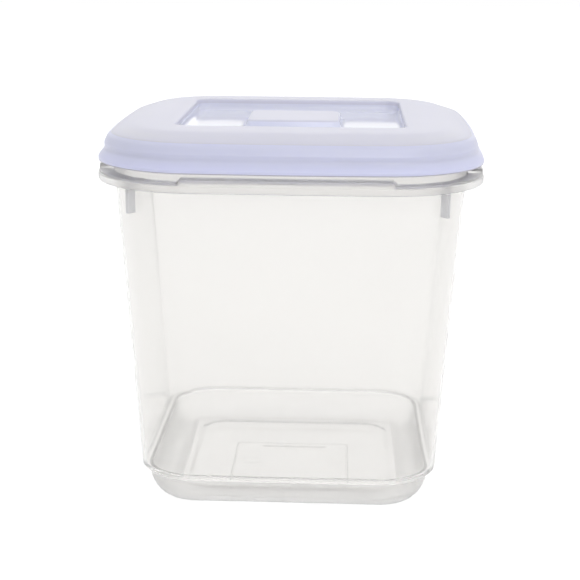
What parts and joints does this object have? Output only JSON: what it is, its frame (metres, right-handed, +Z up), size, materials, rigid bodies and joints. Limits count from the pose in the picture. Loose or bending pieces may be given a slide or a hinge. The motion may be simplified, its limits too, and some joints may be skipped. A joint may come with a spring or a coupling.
{
  "type": "food canister",
  "caption": "Square translucent food canister with tapered walls, rim flange and a press-on lid with a recessed grip.",
  "frame": {"origin": "centre of the foot's lowest face, on the surface the canister stands on", "axes": "+Z up along the tub's axis, -Y to the front, +X to the right"},
  "size_m": [0.2024, 0.2024, 0.2031],
  "materials": {
    "tub_plastic": "translucent natural polypropylene, glossy",
    "lid_plastic": "pale lilac, fine satin grain",
    "seal_rubber": "soft satin"
  },
  "bodies": {
    "tub": {"tub": "tub_plastic"},
    "lid": {"lid": "lid_plastic", "lid_seal": "seal_rubber"}
  },
  "joints": [
    {"name": "lid_lift", "type": "slide", "parent": "tub", "child": "lid", "axis": [0, 0, 1], "range_m": [0, 0.06]}
  ]
}
